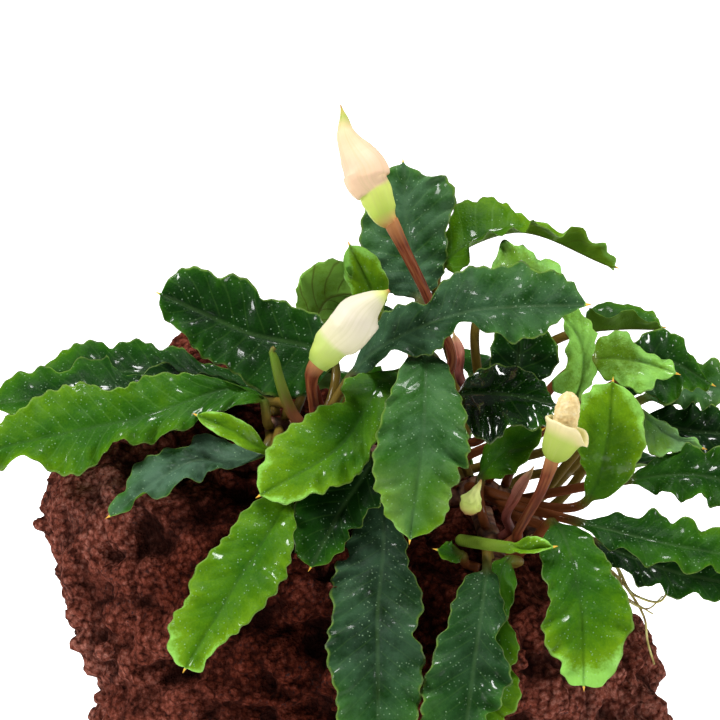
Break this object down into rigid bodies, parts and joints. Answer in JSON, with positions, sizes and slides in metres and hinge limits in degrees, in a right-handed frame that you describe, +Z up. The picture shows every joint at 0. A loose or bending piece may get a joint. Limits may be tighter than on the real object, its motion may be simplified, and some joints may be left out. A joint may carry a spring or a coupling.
{
  "type": "bucephalandra on lava stone",
  "caption": "Flowering aquarium plant with creeping stems and wavy, pointed leaves, grown on a rough block of porous lava stone with a flat base.",
  "frame": {"origin": "middle of the stone's flat base, on the surface that it rests on", "axes": "+Z up; -Y towards the viewer of the picture, the side that the plant's flowers and front leaves face; +X to the viewer's right"},
  "size_m": [0.1582, 0.1043, 0.1331],
  "materials": {
    "lava": "rough, porous red-brown lava with dark pits and damp hollows",
    "stem_bark": "ringed red-brown creeping stem, dull",
    "leaf_dark": "old leaf: dark bluish green with pale specks, wet and glossy",
    "leaf_green": "mature leaf: mid green with a darker midrib, wet and glossy",
    "leaf_lime": "young leaf: lime with a darker middle, wet and glossy",
    "sheath": "thin pointed sheath, pinkish brown, dull",
    "flower_stalk": "smooth red-brown stalk, satin",
    "spathe_cream": "closed spathe: cream above, yellow-green bulb below, satin",
    "spathe_green": "open spathe and bud: pale yellow-green, satin",
    "spadix_cream": "granular cream spadix, dull",
    "root": "fine olive-brown roots, dull"
  },
  "bodies": {
    "root": {"stone": "lava", "rhizome": "stem_bark", "rhizome_front": "stem_bark", "shoot": "stem_bark", "leaf_left_low": "leaf_green", "leaf_left_middle": "leaf_dark", "leaf_left_back": "leaf_dark", "leaf_left_high": "leaf_dark", "leaf_left_grey": "leaf_dark", "leaf_left_young": "leaf_lime", "leaf_left_rolled": "leaf_lime", "leaf_back_curled": "leaf_lime", "leaf_back_small": "leaf_green", "leaf_top": "leaf_dark", "leaf_top_right": "leaf_green", "leaf_right_back": "leaf_green", "leaf_centre_wide": "leaf_dark", "leaf_centre_down": "leaf_green", "leaf_centre_left": "leaf_lime", "leaf_low_left": "leaf_lime", "leaf_low_centre": "leaf_dark", "leaf_front_long": "leaf_dark", "leaf_glossy": "leaf_dark", "leaf_shade": "leaf_dark", "leaf_front_right": "leaf_green", "leaf_front_right_back": "leaf_lime", "leaf_right_down": "leaf_lime", "leaf_young_curl": "leaf_lime", "leaf_under": "leaf_green", "leaf_hanging": "leaf_green", "leaf_right_low": "leaf_green", "leaf_right_lowest": "leaf_dark", "leaf_right_middle": "leaf_dark", "leaf_right_upright": "leaf_lime", "leaf_right_arching": "leaf_lime", "leaf_right_spotted": "leaf_green", "leaf_right_dark": "leaf_dark", "leaf_right_folded": "leaf_green", "leaf_right_far": "leaf_dark", "leaf_right_end": "leaf_dark", "leaf_right_ribbed": "leaf_green", "leaf_rear_left": "leaf_green", "leaf_rear_middle": "leaf_green", "leaf_rear_high": "leaf_dark", "leaf_rear_right": "leaf_green", "leaf_rear_low": "leaf_dark", "leaf_rear_far_right": "leaf_green", "leaf_rear_end": "leaf_dark", "sheath_upright": "sheath", "sheath_front": "sheath", "flower_tall_stalk": "flower_stalk", "flower_low_stalk": "flower_stalk", "flower_open_stalk": "flower_stalk", "flower_tall_spathe": "spathe_cream", "flower_low_spathe": "spathe_cream", "flower_open_spathe": "spathe_green", "flower_open_spadix": "spadix_cream", "flower_bud": "spathe_green", "root_long": "root", "root_short": "root"}
  },
  "joints": []
}
